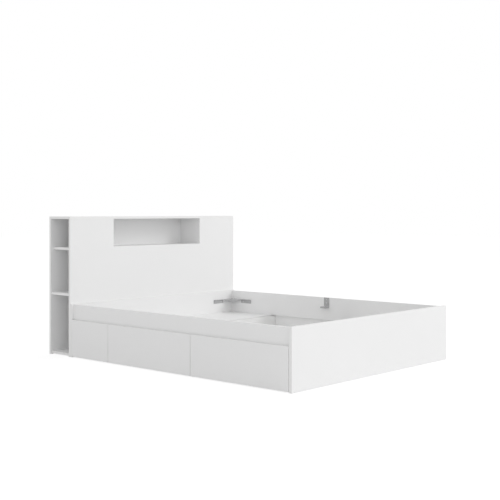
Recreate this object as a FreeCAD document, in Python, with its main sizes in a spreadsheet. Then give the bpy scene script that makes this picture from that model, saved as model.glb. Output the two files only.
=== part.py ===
import FreeCAD, Part
import math
import os

import Sketcher
from FreeCAD import Placement, Rotation, Vector

# Storage bed: a panel bed frame with four roll-out drawers and a bookcase headboard.
# Frame: origin on the floor at the middle of the bed's footprint, X across the bed,
# Y from the foot (-Y) to the headboard (+Y), Z up. All sizes are in millimetres.

doc = FreeCAD.newDocument("bed_with_drawers")

# Driving dimensions: alias, value and meaning, one row each.
DIMENSIONS = [
    ("mattress_width", 1600, "standard mattress across the bed"),
    ("mattress_length", 2000, "standard mattress along the bed"),
    ("side_play", 13.5, "mattress to each side rail"),
    ("end_play", 1.5, "mattress to each end panel"),
    ("foot_thick", 22, "foot panel"),
    ("foot_height", 378, "foot panel"),
    ("head_thick", 18, "head panel"),
    ("head_height", 378, "head panel"),
    ("rail_thick", 18, "side rail"),
    ("rail_height", 174, "side rail"),
    ("rail_lift", 200, "underside of the side rail above the floor"),
    ("front_thick", 18, "drawer front and fixed front"),
    ("front_height", 261, "drawer front and fixed front"),
    ("front_lift", 5, "underside of the fronts above the floor"),
    ("front_joint", 3, "joint between neighbouring fronts"),
    ("close_gap", 0.5, "closed drawer front to the rail behind it"),
    ("drawer_width", 798.5, "drawer front along the bed"),
    ("grip_depth", 10, "finger bevel into the front's thickness"),
    ("grip_height", 22, "finger bevel down the back of the front"),
    ("deck_thick", 18, "head deck"),
    ("partition_thick", 18, "partitions"),
    ("headboard_height", 1000, "floor to the top of the headboard"),
    ("headboard_depth", 246, "headboard front to back"),
    ("headboard_board", 18, "headboard boards"),
    ("niche_width", 900, "open niche between the dividers"),
    ("niche_floor", 777, "top of the niche shelf and of the upper end shelves"),
    ("lower_shelf_top", 450, "top of the lower end shelves"),
    ("bottom_lift", 5, "underside of the headboard's bottom board above the floor"),
    ("upper_setback", 30, "end of the upper shelf to the headboard's end"),
    ("lower_setback", 10, "end of the lower shelf and bottom board to the headboard's end"),
    ("box_inset", 52, "drawer side to the end of its front"),
    ("box_depth", 650, "drawer box behind its front"),
    ("box_board", 15, "drawer sides and back"),
    ("box_lift", 28, "underside of the drawer sides above the floor"),
    ("box_floor", 12, "drawer bottom"),
    ("rail_clear", 7, "top of the drawer box to the rail above it"),
    ("bay_play", 12, "drawer box to the head partition"),
    ("castor_height", 38, "floor to the top of the castor plate"),
    ("castor_inset", 70, "castor to the front and to the back end of the box"),
    ("castor_edge", 28, "castor to the inside of the drawer side"),
    ("wheel_radius", 15, "castor wheel"),
    ("wheel_width", 14, "castor wheel"),
    ("axle_radius", 2.5, "riveted axle"),
    ("axle_play", 0.1, "axle to wheel bore, on the radius"),
    ("cheek_thick", 2, "fork cheek"),
    ("cheek_play", 1, "fork cheek to wheel"),
    ("cheek_reach", 7, "lower end of the cheek below the axle"),
    ("cheek_foot", 12, "width of the cheek at its lower end"),
    ("cheek_top", 34, "width of the cheek under the plate"),
    ("plate_length", 56, "castor plate along the travel"),
    ("plate_width", 36, "castor plate across the travel"),
    ("plate_thick", 2, "castor plate"),
    ("bracket_top", 307, "floor to the faces that carry the slatted base"),
    ("bracket_steel", 3, "steel of the brackets"),
    ("bracket_leg", 218, "corner bracket along each board"),
    ("bracket_tip", 20, "width of the corner bracket's plate at its ends"),
    ("bracket_throat", 55, "corner to the middle of the hollow edge, along each board"),
    ("flange_length", 110, "screwed flange at each end of a corner bracket"),
    ("flange_drop", 30, "corner bracket from its top to the foot of its flange"),
    ("mid_width", 50, "mid bracket along the rail"),
    ("mid_reach", 50, "mid bracket into the bed"),
    ("mid_height", 70, "mid bracket up the rail"),
    ("mid_bend", 4, "inner bend of the mid bracket"),
    ("screw_radius", 2.2, "bracket screw"),
    ("screw_length", 14, "bracket screw in the board"),
    ("screw_head", 4.5, "radius of the bracket screw's head"),
    ("head_rise", 2.5, "height of a screw's head"),
    ("screw_play", 0.3, "bracket screw to its hole"),
    ("screw_end", 20, "first flange screw to the end of the bracket"),
    ("screw_pitch", 65, "between two flange screws"),
    ("mid_screw_low", 28, "lower screw above the mid bracket's underside"),
    ("mid_screw_pitch", 26, "between the mid bracket's screws"),
    ("joint_radius", 3.5, "headboard screw"),
    ("joint_head", 5.5, "radius of the headboard screw's head"),
    ("joint_length", 32, "headboard screw through both boards"),
    ("joint_height", 100, "headboard screws above the floor"),
    ("joint_pitch", 450, "between neighbouring headboard screws"),
]

sheet = doc.addObject("Spreadsheet::Sheet", "Sizes")
for row, (alias, value, meaning) in enumerate(DIMENSIONS, start=1):
    sheet.set(f"A{row}", alias)
    sheet.set(f"B{row}", str(value))
    sheet.setAlias(f"B{row}", alias)
    sheet.set(f"C{row}", meaning)
doc.recompute()


def size(alias):
    """A driving dimension as a plain number."""
    return float(sheet.get(alias))


# Lines that several pieces share, as expressions of the driving dimensions.
# Across the bed, measured from the middle.
RAIL_INSIDE = "(Sizes.mattress_width / 2 + Sizes.side_play)"
RAIL_OUTSIDE = f"({RAIL_INSIDE} + Sizes.rail_thick)"
FRONT_INSIDE = f"({RAIL_OUTSIDE} + Sizes.close_gap)"
OUTSIDE = f"({FRONT_INSIDE} + Sizes.front_thick)"
# Along the bed, from the foot to the back of the headboard.
WELL_LENGTH = "(Sizes.mattress_length + 2 * Sizes.end_play)"
LENGTH = f"(Sizes.foot_thick + {WELL_LENGTH} + Sizes.head_thick + Sizes.headboard_depth)"
FOOT_FACE = f"(-{LENGTH} / 2)"
WELL_FOOT = f"({FOOT_FACE} + Sizes.foot_thick)"
WELL_HEAD = f"({WELL_FOOT} + {WELL_LENGTH})"
HEADBOARD_FACE = f"({WELL_HEAD} + Sizes.head_thick)"
HEADBOARD_BACK = f"({LENGTH} / 2)"
FOOT_DRAWER = f"({WELL_FOOT} + Sizes.front_joint)"
HEAD_DRAWER = f"({FOOT_DRAWER} + Sizes.drawer_width + Sizes.front_joint)"
FIXED_FRONT = f"({HEAD_DRAWER} + Sizes.drawer_width + Sizes.front_joint)"
MID_PARTITION = f"({HEAD_DRAWER} - (Sizes.front_joint + Sizes.partition_thick) / 2)"
HEAD_PARTITION = f"({HEAD_DRAWER} + Sizes.drawer_width - Sizes.box_inset + Sizes.bay_play)"

parts = []


def new_sketch(body, name, plane, away="0"):
    """A sketch on one of the body's origin planes, moved along the plane's normal."""
    sketch = body.newObject("Sketcher::SketchObject", name)
    planes = [item for item in body.Origin.OriginFeatures if item.Role == plane + "_Plane"]
    sketch.AttachmentSupport = [(planes[0], "")]
    sketch.MapMode = "FlatFace"
    sketch.setExpression("AttachmentOffset.Base.z", away)
    return sketch


def hold(sketch, kind, geometry, point, expression):
    """Holds one coordinate of a point at its distance from the sketch's origin."""
    if expression == "0":
        axis = -2 if kind == "DistanceX" else -1
        sketch.addConstraint(Sketcher.Constraint("PointOnObject", geometry, point, axis))
        return
    corner = sketch.getPoint(geometry, point)
    now = corner.x if kind == "DistanceX" else corner.y
    number = sketch.addConstraint(Sketcher.Constraint(kind, -1, 1, geometry, point, now))
    sketch.setExpression(f"Constraints[{number}]", expression)


def draw_outline(sketch, corners):
    """A closed outline of straight edges through corners given as pairs of expressions."""
    count = len(corners)
    # Any separate points will do to start with: the constraints then move each corner home.
    guess = [Vector(1 + index, 1 + index * (count - index), 0) for index in range(count)]
    for index in range(count):
        sketch.addGeometry(Part.LineSegment(guess[index], guess[(index + 1) % count]))
    for index in range(count):
        following = (index + 1) % count
        sketch.addConstraint(Sketcher.Constraint("Coincident", index, 2, following, 1))
    for index, (across, up) in enumerate(corners):
        if across == "0" and up == "0":
            sketch.addConstraint(Sketcher.Constraint("Coincident", index, 1, -1, 1))
            continue
        hold(sketch, "DistanceX", index, 1, across)
        hold(sketch, "DistanceY", index, 1, up)


def draw_circle(sketch, across, up, radius):
    """A circle with its centre and radius given as expressions."""
    index = sketch.addGeometry(Part.Circle(Vector(1, 1, 0), Vector(0, 0, 1), 1))
    hold(sketch, "DistanceX", index, 3, across)
    hold(sketch, "DistanceY", index, 3, up)
    number = sketch.addConstraint(Sketcher.Constraint("Radius", index, 1))
    sketch.setExpression(f"Constraints[{number}]", radius)


def add_pad(body, sketch, thick, turned=False):
    """Pads a sketch by an expression, along its normal or against it."""
    pad = body.newObject("PartDesign::Pad", sketch.Name + "_pad")
    pad.Profile = sketch
    pad.setExpression("Length", thick)
    pad.Reversed = turned
    sketch.Visibility = False
    return pad


def add_pocket(body, sketch, deep, turned=False):
    """Cuts a sketch into the body and makes sure that it took material away."""
    doc.recompute()
    before = body.Shape.Volume
    pocket = body.newObject("PartDesign::Pocket", sketch.Name + "_pocket")
    pocket.Profile = sketch
    pocket.setExpression("Length", deep)
    pocket.Reversed = turned
    doc.recompute()
    if not body.Shape.Volume < before:
        raise RuntimeError(f"{pocket.Name} cuts nothing")
    return pocket


def put(body, at, turn=0):
    """Places a finished sub-part: its corner in expressions and its turn about Z in degrees."""
    body.Placement = Placement(Vector(), Rotation(Vector(0, 0, 1), turn))
    for axis, expression in zip("xyz", at):
        body.setExpression(f"Placement.Base.{axis}", expression)
    parts.append(body)
    return body


def padded_outline(label, plane, corners, thick):
    """A body padded from one outline. On XZ the pad runs along +Y, elsewhere along the normal."""
    body = doc.addObject("PartDesign::Body", label)
    sketch = new_sketch(body, label + "_outline", plane)
    draw_outline(sketch, corners)
    add_pad(body, sketch, thick, turned=plane == "XZ")
    return body


def board(label, plane, width, height, thick):
    """A plain rectangular board with its lowest corner at the body's origin."""
    corners = [("0", "0"), (width, "0"), (width, height), ("0", height)]
    return padded_outline(label, plane, corners, thick)


def bevelled_front(label, width):
    """A front with its back on the body's YZ plane and a finger bevel behind its top edge."""
    profile = [("0", "0"), ("Sizes.front_thick", "0"), ("Sizes.front_thick", "Sizes.front_height"),
               ("Sizes.grip_depth", "Sizes.front_height"),
               ("0", "(Sizes.front_height - Sizes.grip_height)")]
    return padded_outline(label, "XZ", profile, width)


# Bed frame: end panels, side rails, fixed fronts, deck and partitions. A fixed front has
# the same bevel as the drawer fronts, so that one shadow line runs along the whole side.

full_width = f"2 * {OUTSIDE}"
put(board("foot_panel", "XZ", full_width, "Sizes.foot_height", "Sizes.foot_thick"),
    (f"-{OUTSIDE}", FOOT_FACE, "0"))
put(board("head_panel", "XZ", full_width, "Sizes.head_height", "Sizes.head_thick"),
    (f"-{OUTSIDE}", WELL_HEAD, "0"))

fixed_width = f"({WELL_HEAD} - {FIXED_FRONT})"
for side, rail_corner, front_back, front_end, turn in (
    ("left", f"-{RAIL_OUTSIDE}", f"-{RAIL_OUTSIDE}", WELL_HEAD, 180),
    ("right", RAIL_INSIDE, RAIL_OUTSIDE, FIXED_FRONT, 0),
):
    put(board(f"{side}_side_rail", "YZ", WELL_LENGTH, "Sizes.rail_height", "Sizes.rail_thick"),
        (rail_corner, WELL_FOOT, "Sizes.rail_lift"))
    put(bevelled_front(f"{side}_fixed_front", fixed_width),
        (front_back, front_end, "Sizes.front_lift"), turn)

inner_width = f"2 * {RAIL_OUTSIDE}"
deck_underside = "(Sizes.rail_lift - Sizes.deck_thick)"
put(board("head_deck", "XY", inner_width, f"({WELL_HEAD} - {HEAD_PARTITION})", "Sizes.deck_thick"),
    (f"-{RAIL_OUTSIDE}", HEAD_PARTITION, deck_underside))
put(board("head_partition", "XZ", inner_width, deck_underside, "Sizes.partition_thick"),
    (f"-{RAIL_OUTSIDE}", HEAD_PARTITION, "0"))
put(board("mid_partition", "XZ", inner_width, "Sizes.rail_lift", "Sizes.partition_thick"),
    (f"-{RAIL_OUTSIDE}", MID_PARTITION, "0"))

# Corner brackets: pressed steel, a plate with a hollow front edge and a screwed flange
# at each end. The two legs are alike, so one pattern turned by quarters fits all corners.

flange_start = "(Sizes.bracket_leg - Sizes.flange_length)"
flange_height = "(Sizes.flange_drop - Sizes.bracket_steel)"
screw_hole = "(Sizes.screw_radius + Sizes.screw_play)"
flange_screws = ("(Sizes.bracket_leg - Sizes.screw_end)",
                 "(Sizes.bracket_leg - Sizes.screw_end - Sizes.screw_pitch)")
hollow_centre = ("((Sizes.bracket_leg^2 + Sizes.bracket_tip^2 - 2 * Sizes.bracket_throat^2)"
                 " / (2 * (Sizes.bracket_leg + Sizes.bracket_tip - 2 * Sizes.bracket_throat)))")


def draw_bracket_plate(sketch):
    """Plan of the corner plate: two straight legs and a hollow arc between their ends."""
    leg, tip = size("bracket_leg"), size("bracket_tip")
    corner = Vector(0, 0, 0)
    leg_end, tip_end = Vector(leg, 0, 0), Vector(leg, tip, 0)
    far_tip, far_end = Vector(tip, leg, 0), Vector(0, leg, 0)
    middle = Vector(1, 1, 0) * size("bracket_throat")
    sketch.addGeometry(Part.LineSegment(corner, leg_end))
    sketch.addGeometry(Part.LineSegment(leg_end, tip_end))
    sketch.addGeometry(Part.Arc(far_tip, middle, tip_end))
    sketch.addGeometry(Part.LineSegment(far_tip, far_end))
    sketch.addGeometry(Part.LineSegment(far_end, corner))
    first, end, arc, far, last = range(5)
    sketch.addConstraint([
        Sketcher.Constraint("Coincident", first, 1, -1, 1),
        Sketcher.Constraint("PointOnObject", first, 2, -1),
        Sketcher.Constraint("Coincident", first, 2, end, 1),
        Sketcher.Constraint("Vertical", end),
        Sketcher.Constraint("Coincident", end, 2, arc, 2),
        Sketcher.Constraint("Coincident", arc, 1, far, 1),
        Sketcher.Constraint("Horizontal", far),
        Sketcher.Constraint("Coincident", far, 2, last, 1),
        Sketcher.Constraint("PointOnObject", last, 1, -2),
        Sketcher.Constraint("Coincident", last, 2, -1, 1),
    ])
    hold(sketch, "DistanceX", first, 2, "Sizes.bracket_leg")
    hold(sketch, "DistanceY", end, 2, "Sizes.bracket_tip")
    hold(sketch, "DistanceX", arc, 1, "Sizes.bracket_tip")
    hold(sketch, "DistanceX", arc, 3, hollow_centre)
    hold(sketch, "DistanceY", arc, 3, hollow_centre)


def corner_bracket(label, at, turn):
    """One corner bracket with its corner at the body's origin and its top at the plate's top."""
    body = doc.addObject("PartDesign::Body", label)
    plate = new_sketch(body, label + "_plate", "XY", flange_height)
    draw_bracket_plate(plate)
    add_pad(body, plate, "Sizes.bracket_steel")
    for plane in ("XZ", "YZ"):
        flange = new_sketch(body, f"{label}_flange_{plane}", plane)
        draw_outline(flange, [(flange_start, "0"), ("Sizes.bracket_leg", "0"),
                              ("Sizes.bracket_leg", flange_height), (flange_start, flange_height)])
        add_pad(body, flange, "Sizes.bracket_steel", turned=plane == "XZ")
        holes = new_sketch(body, f"{label}_holes_{plane}", plane)
        for along in flange_screws:
            draw_circle(holes, along, f"{flange_height} / 2", screw_hole)
        add_pocket(body, holes, "Sizes.bracket_steel", turned=plane == "YZ")
    return put(body, at, turn)


bracket_foot = "(Sizes.bracket_top - Sizes.flange_drop)"
corner_brackets = [
    corner_bracket(f"corner_bracket_{name}", (across, along, bracket_foot), turn)
    for name, across, along, turn in (
        ("foot_left", f"-{RAIL_INSIDE}", WELL_FOOT, 0),
        ("foot_right", RAIL_INSIDE, WELL_FOOT, 90),
        ("head_right", RAIL_INSIDE, WELL_HEAD, 180),
        ("head_left", f"-{RAIL_INSIDE}", WELL_HEAD, 270),
    )
]

# Mid brackets: a folded steel angle screwed to the middle of each rail. The lower leaf
# carries the slatted base at the same level as the corner plates.


def mid_bracket(label, at, turn):
    """One mid bracket, its back on the body's YZ plane and its lower leaf along +X."""
    steel, bend = "Sizes.bracket_steel", "Sizes.mid_bend"
    corners = [("0", "0"), ("Sizes.mid_reach", "0"), ("Sizes.mid_reach", steel),
               (f"({steel} + {bend})", steel), (steel, f"({steel} + {bend})"),
               (steel, "Sizes.mid_height"), ("0", "Sizes.mid_height")]
    body = padded_outline(label, "XZ", corners, "Sizes.mid_width")
    holes = new_sketch(body, label + "_holes", "YZ")
    for up in ("Sizes.mid_screw_low", "(Sizes.mid_screw_low + Sizes.mid_screw_pitch)"):
        draw_circle(holes, "Sizes.mid_width / 2", up, screw_hole)
    add_pocket(body, holes, steel, turned=True)
    return put(body, at, turn)


well_middle = f"({WELL_FOOT} + {WELL_LENGTH} / 2)"
leaf_underside = "(Sizes.bracket_top - Sizes.bracket_steel)"
mid_brackets = [
    mid_bracket("mid_bracket_left",
                (f"-{RAIL_INSIDE}", f"({well_middle} - Sizes.mid_width / 2)", leaf_underside), 0),
    mid_bracket("mid_bracket_right",
                (RAIL_INSIDE, f"({well_middle} + Sizes.mid_width / 2)", leaf_underside), 180),
]

# Headboard: a bookcase box with a notched front board, a back board, a niche between
# two dividers and open shelves at both ends.

skin = "Sizes.headboard_board"
panel_height = "(Sizes.headboard_height - Sizes.headboard_board)"
inner_front = f"({HEADBOARD_FACE} + {skin})"
inner_depth = f"(Sizes.headboard_depth - 2 * {skin})"
niche_left = f"({OUTSIDE} - Sizes.niche_width / 2)"
niche_right = f"({OUTSIDE} + Sizes.niche_width / 2)"
notched = [("0", "0"), (full_width, "0"), (full_width, panel_height), (niche_right, panel_height),
           (niche_right, "Sizes.niche_floor"), (niche_left, "Sizes.niche_floor"),
           (niche_left, panel_height), ("0", panel_height)]
put(padded_outline("headboard_front", "XZ", notched, skin), (f"-{OUTSIDE}", HEADBOARD_FACE, "0"))
put(board("headboard_back", "XZ", full_width, panel_height, skin),
    (f"-{OUTSIDE}", f"({HEADBOARD_BACK} - {skin})", "0"))
put(board("headboard_top", "XY", full_width, "Sizes.headboard_depth", skin),
    (f"-{OUTSIDE}", HEADBOARD_FACE, panel_height))

bottom_reach = f"({OUTSIDE} - Sizes.lower_setback)"
bottom_top = f"(Sizes.bottom_lift + {skin})"
put(board("headboard_bottom", "XY", f"2 * {bottom_reach}", inner_depth, skin),
    (f"-{bottom_reach}", inner_front, "Sizes.bottom_lift"))

divider_outside = f"(Sizes.niche_width / 2 + {skin})"
divider_height = f"({panel_height} - {bottom_top})"
put(board("niche_shelf", "XY", "Sizes.niche_width", inner_depth, skin),
    ("-Sizes.niche_width / 2", inner_front, f"(Sizes.niche_floor - {skin})"))
for side in ("left", "right"):
    inner_face = f"-{divider_outside}" if side == "left" else "Sizes.niche_width / 2"
    put(board(f"headboard_{side}_divider", "YZ", inner_depth, divider_height, skin),
        (inner_face, inner_front, bottom_top))
    for level, top, setback in (("upper", "Sizes.niche_floor", "Sizes.upper_setback"),
                                ("lower", "Sizes.lower_shelf_top", "Sizes.lower_setback")):
        shelf_length = f"({OUTSIDE} - {setback} - {divider_outside})"
        start = f"-({OUTSIDE} - {setback})" if side == "left" else divider_outside
        put(board(f"{side}_{level}_shelf", "XY", shelf_length, inner_depth, skin),
            (start, inner_front, f"({top} - {skin})"))

# Drawers: a bevelled front, a box of four boards and four castors under the bottom.
# Each is built in its own frame, with X in the pull direction from the back of the front
# and Y along the bed from the middle of the drawer.

box_half = "(Sizes.drawer_width / 2 - Sizes.box_inset)"
box_inside = f"(2 * ({box_half} - Sizes.box_board))"
box_height = "(Sizes.rail_lift - Sizes.rail_clear - Sizes.box_lift)"
floor_depth = "(Sizes.box_depth - Sizes.box_board)"
wheel_base = "(Sizes.box_depth - 2 * Sizes.castor_inset)"
track_half = f"({box_half} - Sizes.box_board - Sizes.castor_edge)"
track = f"(2 * {track_half})"
rear_axle = "(-(Sizes.box_depth - Sizes.castor_inset))"
front_axle = "(-Sizes.castor_inset)"
wheel_bore = "(Sizes.axle_radius + Sizes.axle_play)"
slot_width = "(Sizes.wheel_width + 2 * Sizes.cheek_play)"
fork_width = f"({slot_width} + 2 * Sizes.cheek_thick)"
plate_underside = "(Sizes.castor_height - Sizes.plate_thick)"
fork_middle = "(Sizes.plate_length / 2)"


def repeat(body, steps):
    """Repeats everything in the body once along each given axis, at the given spacing."""
    doc.recompute()
    pattern = body.newObject("PartDesign::LinearPattern", body.Name + "_pattern")
    pattern.TransformMode = "Whole shape"
    axes = {item.Role: item for item in body.Origin.OriginFeatures}
    for number, (axis, spacing) in zip(("", "2"), steps):
        setattr(pattern, "Direction" + number, (axes[axis + "_Axis"], [""]))
        setattr(pattern, "Occurrences" + number, 2)
        pattern.setExpression("Length" + number, spacing)
    body.Tip = pattern
    doc.recompute()


def castors(label):
    """Four fixed castor forks: plate, two tapered cheeks of one channel, axle riveted flush."""
    body = doc.addObject("PartDesign::Body", label)
    plate = new_sketch(body, label + "_plate", "XY", plate_underside)
    draw_outline(plate, [("0", "0"), ("Sizes.plate_length", "0"),
                         ("Sizes.plate_length", "Sizes.plate_width"), ("0", "Sizes.plate_width")])
    add_pad(body, plate, "Sizes.plate_thick")
    fork_side = f"-(Sizes.plate_width - {fork_width}) / 2"
    cheek = new_sketch(body, label + "_cheek", "XZ", fork_side)
    cheek_low = "(Sizes.wheel_radius - Sizes.cheek_reach)"
    draw_outline(cheek, [(f"({fork_middle} - Sizes.cheek_foot / 2)", cheek_low),
                         (f"({fork_middle} + Sizes.cheek_foot / 2)", cheek_low),
                         (f"({fork_middle} + Sizes.cheek_top / 2)", plate_underside),
                         (f"({fork_middle} - Sizes.cheek_top / 2)", plate_underside)])
    add_pad(body, cheek, fork_width, turned=True)
    slot = new_sketch(body, label + "_slot", "XZ", f"-(Sizes.plate_width - {slot_width}) / 2")
    draw_outline(slot, [("0", "0"), ("Sizes.plate_length", "0"),
                        ("Sizes.plate_length", plate_underside), ("0", plate_underside)])
    add_pocket(body, slot, slot_width)
    axle = new_sketch(body, label + "_axle", "XZ", fork_side)
    draw_circle(axle, fork_middle, "Sizes.wheel_radius", "Sizes.axle_radius")
    add_pad(body, axle, fork_width, turned=True)
    repeat(body, [("X", wheel_base), ("Y", track)])
    return body


def wheel_pair(label):
    """Two wheels on one axis along Y, each turned from its half section."""
    body = doc.addObject("PartDesign::Body", label)
    section = new_sketch(body, label + "_section", "YZ")
    width, radius = "Sizes.wheel_width", "Sizes.wheel_radius"
    draw_outline(section, [("0", wheel_bore), (width, wheel_bore), (width, radius), ("0", radius)])
    wheel = body.newObject("PartDesign::Revolution", label + "_turned")
    wheel.Profile = section
    wheel.ReferenceAxis = (section, ["H_Axis"])
    wheel.Angle = 360
    repeat(body, [("Y", track)])
    return body


def drawer(name, side, start):
    """All pieces of one drawer. Left drawers are the right ones turned half round."""
    sign, turn = ("", 0) if side == "right" else ("-", 180)
    middle = f"({start} + Sizes.drawer_width / 2)"

    def place(body, out, along, up):
        put(body, (f"{sign}({FRONT_INSIDE} + {out})", f"({middle} + {sign}({along}))", up), turn)

    place(bevelled_front(f"{name}_front", "Sizes.drawer_width"),
          "0", "-Sizes.drawer_width / 2", "Sizes.front_lift")

    lower, upper = f"-{box_half}", f"{box_half} - Sizes.box_board"
    foot_side, head_side = (lower, upper) if side == "right" else (upper, lower)
    for end, along in (("foot", foot_side), ("head", head_side)):
        place(board(f"{name}_{end}_side", "XZ", "Sizes.box_depth", box_height, "Sizes.box_board"),
              "-Sizes.box_depth", along, "Sizes.box_lift")
    inner_edge = f"-{box_half} + Sizes.box_board"
    place(board(f"{name}_back", "YZ", box_inside, box_height, "Sizes.box_board"),
          "-Sizes.box_depth", inner_edge, "Sizes.box_lift")
    place(board(f"{name}_bottom", "XY", floor_depth, box_inside, "Sizes.box_floor"),
          f"-{floor_depth}", inner_edge, "Sizes.castor_height")

    place(castors(f"{name}_castors"), f"{rear_axle} - {fork_middle}",
          f"-{track_half} - Sizes.plate_width / 2", "0")
    for end, axle in (("front", front_axle), ("rear", rear_axle)):
        place(wheel_pair(f"{name}_{end}_wheels"), axle,
              f"-{track_half} - Sizes.wheel_width / 2", "Sizes.wheel_radius")


for side in ("left", "right"):
    drawer(f"{side}_foot_drawer", side, FOOT_DRAWER)
    drawer(f"{side}_head_drawer", side, HEAD_DRAWER)
doc.recompute()

# Screws: one pattern for the brackets and one for the headboard, each repeated in its holes
# as a group of separate solids. They are many and small, so each has a few flats.

shank_flat_count = 6
head_flat_count = 8


def prism(sides, radius, low, high):
    """An upright bar with flat sides and its corners on a circle."""
    turns = [2 * math.pi * number / sides for number in range(sides + 1)]
    corners = [Vector(radius * math.cos(turn), radius * math.sin(turn), low) for turn in turns]
    return Part.Face(Part.makePolygon(corners)).extrude(Vector(0, 0, high - low))


def screw(radius, length, head_radius):
    """A screw along +Z: its shank in the wood below zero and its head above."""
    shank = prism(shank_flat_count, radius, -length, 0)
    return shank.fuse(prism(head_flat_count, head_radius, 0, size("head_rise"))).removeSplitter()


def screw_group(label, pattern, places):
    """Copies of one screw in one node."""
    group = doc.addObject("Part::Feature", label)
    group.Shape = Part.makeCompound([pattern.transformed(place.toMatrix()) for place in places])
    parts.append(group)


along_x = Rotation(Vector(0, 0, 1), Vector(1, 0, 0))
along_y = Rotation(Vector(0, 0, 1), Vector(0, 1, 0))
steel = size("bracket_steel")
flange_middle = (size("flange_drop") - steel) / 2
bracket_places = []
for bracket in corner_brackets:
    for step in range(2):
        along = size("bracket_leg") - size("screw_end") - step * size("screw_pitch")
        on_panel = Placement(Vector(along, steel, flange_middle), along_y)
        on_rail = Placement(Vector(steel, along, flange_middle), along_x)
        bracket_places += [bracket.Placement.multiply(on_panel), bracket.Placement.multiply(on_rail)]
for bracket in mid_brackets:
    for step in range(2):
        up = size("mid_screw_low") + step * size("mid_screw_pitch")
        on_rail = Placement(Vector(steel, size("mid_width") / 2, up), along_x)
        bracket_places.append(bracket.Placement.multiply(on_rail))
bracket_screw = screw(size("screw_radius"), size("screw_length") + steel, size("screw_head"))
screw_group("bracket_screws", bracket_screw, bracket_places)

towards_foot = Rotation(Vector(0, 0, 1), Vector(0, -1, 0))
panel_face = doc.getObject("head_panel").Placement.Base.y
joint_count = 4
joint_places = []
for number in range(joint_count):
    across = (number - (joint_count - 1) / 2) * size("joint_pitch")
    joint_places.append(Placement(Vector(across, panel_face, size("joint_height")), towards_foot))
joint_screw = screw(size("joint_radius"), size("joint_length"), size("joint_head"))
screw_group("headboard_screws", joint_screw, joint_places)
doc.recompute()

# Nothing is written unless every object is sound.
for item in doc.Objects:
    if "Invalid" in item.State or "Error" in item.State:
        raise RuntimeError(f"{item.Name} failed: {item.State}")
for part in parts:
    if part.Shape.isNull() or not part.Shape.isValid():
        raise RuntimeError(f"{part.Label} has no valid shape")

os.makedirs("parts", exist_ok=True)
for part in parts:
    part.Shape.exportStep(f"parts/{part.Label}.step")
    bounds = part.Shape.BoundBox
    print(f"{part.Label}: {len(part.Shape.Solids)} solid(s), {part.Shape.Volume / 1000:.0f} cm3,"
          f" {bounds.XLength:.1f} x {bounds.YLength:.1f} x {bounds.ZLength:.1f} mm")
print(len(parts), "sub-parts")
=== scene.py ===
import math

import bmesh
import bpy
from mathutils import Matrix, Vector


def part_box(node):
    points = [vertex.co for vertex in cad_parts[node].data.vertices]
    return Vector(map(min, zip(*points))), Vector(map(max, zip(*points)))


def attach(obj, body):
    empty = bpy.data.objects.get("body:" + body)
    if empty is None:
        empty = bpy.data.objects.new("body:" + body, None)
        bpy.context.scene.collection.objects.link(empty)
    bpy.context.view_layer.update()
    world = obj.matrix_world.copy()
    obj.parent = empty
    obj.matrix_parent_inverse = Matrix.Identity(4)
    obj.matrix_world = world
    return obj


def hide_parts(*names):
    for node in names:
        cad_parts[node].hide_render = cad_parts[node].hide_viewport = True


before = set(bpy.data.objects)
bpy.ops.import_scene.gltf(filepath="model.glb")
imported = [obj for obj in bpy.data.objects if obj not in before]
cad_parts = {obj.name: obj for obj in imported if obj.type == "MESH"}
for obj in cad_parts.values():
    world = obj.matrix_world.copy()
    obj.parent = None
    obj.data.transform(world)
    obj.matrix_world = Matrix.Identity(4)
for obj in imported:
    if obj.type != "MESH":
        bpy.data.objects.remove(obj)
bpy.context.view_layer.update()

# Bed frame: foot and head panels, side rails, fixed fronts, deck and partitions.
# White melamine-faced particle board, sawn square, with a plastic band glued round its narrow
# sides and the arrises rounded off by the trimming cutter.
MM = 0.001
MERGE = 0.001 * MM
FLAT = math.radians(1)
SHARP = math.radians(30)
BOARD_ARRIS = 0.8 * MM
FRONT_ARRIS = 2 * MM
ARRIS_STEPS = 3
ROUND_PROFILE = 0.5
BAND_THICK = 1.0 * MM
SEAM_WIDTH = 0.12 * MM
HANDLED_REACH = 18 * MM
HANDLED_TINT = 0.5
HANDLED_POLISH = 0.06
CLOUD_SCALE = 2.2
CLOUD_DETAIL = 3
CLOUD_THIN = 0.3
CLOUD_DENSE = 0.7
CLOUD_SHADE = 0.985
PIT_DETAIL = 2
SWELL_SCALE = 0.23
SKIN_STRENGTH = 0.35
WHITE_FACE = (0.9, 0.9, 0.9, 1)
WHITE_BAND = (0.89, 0.89, 0.885, 1)
GLUE_SEAM = (0.62, 0.61, 0.59, 1)
MELAMINE_ROUGH = 0.42
MELAMINE_SKIN = (900, 0.06 * MM)
MIX_FACTOR, MIX_FIRST, MIX_SECOND, MIX_RESULT = 0, 6, 7, 2


def add_node(tree, kind, inputs=None, **options):
    """Adds a node, sets its options, then fills its inputs with values or links."""
    node = tree.nodes.new(kind)
    for name, value in options.items():
        setattr(node, name, value)
    for key, value in (inputs or {}).items():
        if isinstance(value, bpy.types.NodeSocket):
            tree.links.new(value, node.inputs[key])
        else:
            node.inputs[key].default_value = value
    return node


def maths(tree, operation, first, second):
    """One sum of two values or sockets."""
    return add_node(tree, "ShaderNodeMath", {0: first, 1: second}, operation=operation).outputs[0]


def mix_colour(tree, factor, first, second):
    """A colour between two colours or sockets."""
    inputs = {MIX_FACTOR: factor, MIX_FIRST: first, MIX_SECOND: second}
    return add_node(tree, "ShaderNodeMix", inputs, data_type="RGBA").outputs[MIX_RESULT]


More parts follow.
